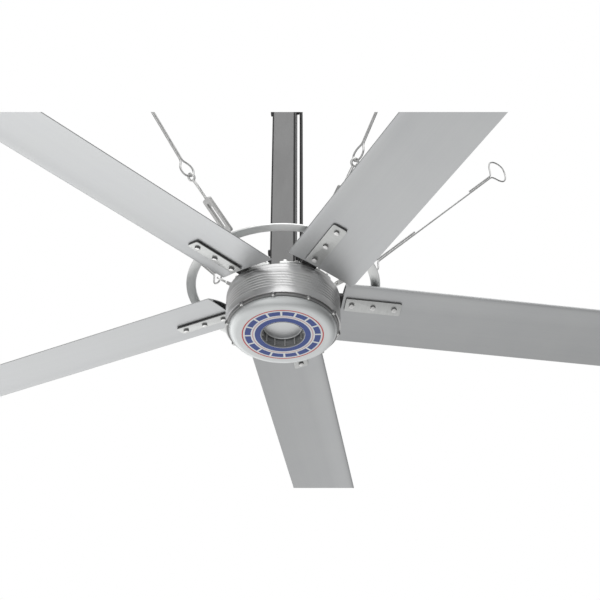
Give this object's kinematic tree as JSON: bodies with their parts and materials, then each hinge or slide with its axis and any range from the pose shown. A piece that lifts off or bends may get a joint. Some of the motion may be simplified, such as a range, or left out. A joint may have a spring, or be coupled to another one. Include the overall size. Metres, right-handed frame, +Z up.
{
  "type": "ceiling fan",
  "caption": "High volume low speed ceiling fan with wide hollow blades, direct drive motor, safety ring, downrod and guy wires with turnbuckles.",
  "frame": {"origin": "centre of the ceiling plate's top face, on the axis that the rotor turns about", "axes": "+Z up, out of the plate's top face into the ceiling; +X to the viewer's right and +Y away from the viewer in the picture"},
  "size_m": [2.8793, 2.8721, 1.2],
  "materials": {
    "anodised_aluminium": "extruded, satin anodised",
    "black_plastic": "black, fine grain",
    "brushed_aluminium": "brushed round the motor's axis, satin",
    "copper_wire": "enamelled copper wire",
    "dark_steel": "blackened steel",
    "grey_paint": "mid grey powder coat",
    "magnet": "sintered magnets on a steel ring",
    "silver_paint": "pale silver paint, semi-matt",
    "wire_rope": "galvanised strands",
    "zinc_steel": "bright zinc plated"
  },
  "bodies": {
    "mounting": {"adjust_bolt": "dark_steel", "cable_clip_1": "black_plastic", "cable_clip_2": "black_plastic", "cable_gland": "black_plastic", "ceiling_plate": "grey_paint", "ceiling_yoke": "grey_paint", "downrod": "grey_paint", "foot_bolt_1": "dark_steel", "foot_bolt_2": "dark_steel", "guy_bracket": "zinc_steel", "motor_yoke": "dark_steel", "pivot_bolt": "dark_steel", "power_cable": "black_plastic", "stator_core": "dark_steel", "stator_shaft": "zinc_steel", "stator_windings": "copper_wire", "terminal_box": "black_plastic", "upper_stem": "grey_paint"},
    "rotor": {"housing_shell": "brushed_aluminium", "top_cover": "brushed_aluminium", "flange_cover": "brushed_aluminium", "bottom_cap": "silver_paint", "badge_cup": "black_plastic", "badge_disc": "silver_paint", "magnet_ring": "magnet", "upper_bearing": "zinc_steel", "lower_bearing": "zinc_steel", "safety_ring": "brushed_aluminium", "blade_arm_1": "dark_steel", "blade_1": "anodised_aluminium", "blade_clamp_1": "brushed_aluminium", "tip_cap_1": "silver_paint", "blade_arm_2": "dark_steel", "blade_2": "anodised_aluminium", "blade_clamp_2": "brushed_aluminium", "tip_cap_2": "silver_paint", "blade_arm_3": "dark_steel", "blade_3": "anodised_aluminium", "blade_clamp_3": "brushed_aluminium", "tip_cap_3": "silver_paint", "blade_arm_4": "dark_steel", "blade_4": "anodised_aluminium", "blade_clamp_4": "brushed_aluminium", "tip_cap_4": "silver_paint", "blade_arm_5": "dark_steel", "blade_5": "anodised_aluminium", "blade_clamp_5": "brushed_aluminium", "tip_cap_5": "silver_paint"},
    "turnbuckle_1": {"turnbuckle_body_1": "zinc_steel"},
    "guy_end_1": {"eye_rod_1": "zinc_steel", "guy_wire_1": "wire_rope"},
    "turnbuckle_2": {"turnbuckle_body_2": "zinc_steel"},
    "guy_end_2": {"eye_rod_2": "zinc_steel", "guy_wire_2": "wire_rope"},
    "turnbuckle_3": {"turnbuckle_body_3": "zinc_steel"},
    "guy_end_3": {"eye_rod_3": "zinc_steel", "guy_wire_3": "wire_rope"},
    "turnbuckle_4": {"turnbuckle_body_4": "zinc_steel"},
    "guy_end_4": {"eye_rod_4": "zinc_steel", "guy_wire_4": "wire_rope"}
  },
  "joints": [
    {"name": "rotor_spin", "type": "hinge", "parent": "mounting", "child": "rotor", "pos_m": [0, 0, -1.0723], "axis": [0, 0, -1], "continuous": true},
    {"name": "turnbuckle_turn_1", "type": "hinge", "parent": "mounting", "child": "turnbuckle_1", "pos_m": [0.07177, 0.0533, -1.0327], "axis": [0.5731, 0.4256, 0.7003], "range_deg": [-1440, 1440]},
    {"name": "guy_slide_1", "type": "slide", "parent": "mounting", "child": "guy_end_1", "axis": [0.5731, 0.4256, 0.7003], "range_m": [-0.01, 0.01]},
    {"name": "turnbuckle_turn_2", "type": "hinge", "parent": "mounting", "child": "turnbuckle_2", "pos_m": [-0.0533, 0.07177, -1.0327], "axis": [-0.4256, 0.5731, 0.7003], "range_deg": [-1440, 1440]},
    {"name": "guy_slide_2", "type": "slide", "parent": "mounting", "child": "guy_end_2", "axis": [-0.4256, 0.5731, 0.7003], "range_m": [-0.01, 0.01]},
    {"name": "turnbuckle_turn_3", "type": "hinge", "parent": "mounting", "child": "turnbuckle_3", "pos_m": [-0.07177, -0.0533, -1.0327], "axis": [-0.5731, -0.4256, 0.7003], "range_deg": [-1440, 1440]},
    {"name": "guy_slide_3", "type": "slide", "parent": "mounting", "child": "guy_end_3", "axis": [-0.5731, -0.4256, 0.7003], "range_m": [-0.01, 0.01]},
    {"name": "turnbuckle_turn_4", "type": "hinge", "parent": "mounting", "child": "turnbuckle_4", "pos_m": [0.0533, -0.07177, -1.0327], "axis": [0.4256, -0.5731, 0.7003], "range_deg": [-1440, 1440]},
    {"name": "guy_slide_4", "type": "slide", "parent": "mounting", "child": "guy_end_4", "axis": [0.4256, -0.5731, 0.7003], "range_m": [-0.01, 0.01]}
  ],
  "couplings": [
    {"joint": "turnbuckle_turn_1", "follows": "guy_slide_1", "rad_per_m": 2513.3},
    {"joint": "turnbuckle_turn_2", "follows": "guy_slide_2", "rad_per_m": 2513.3},
    {"joint": "turnbuckle_turn_3", "follows": "guy_slide_3", "rad_per_m": 2513.3},
    {"joint": "turnbuckle_turn_4", "follows": "guy_slide_4", "rad_per_m": 2513.3}
  ]
}
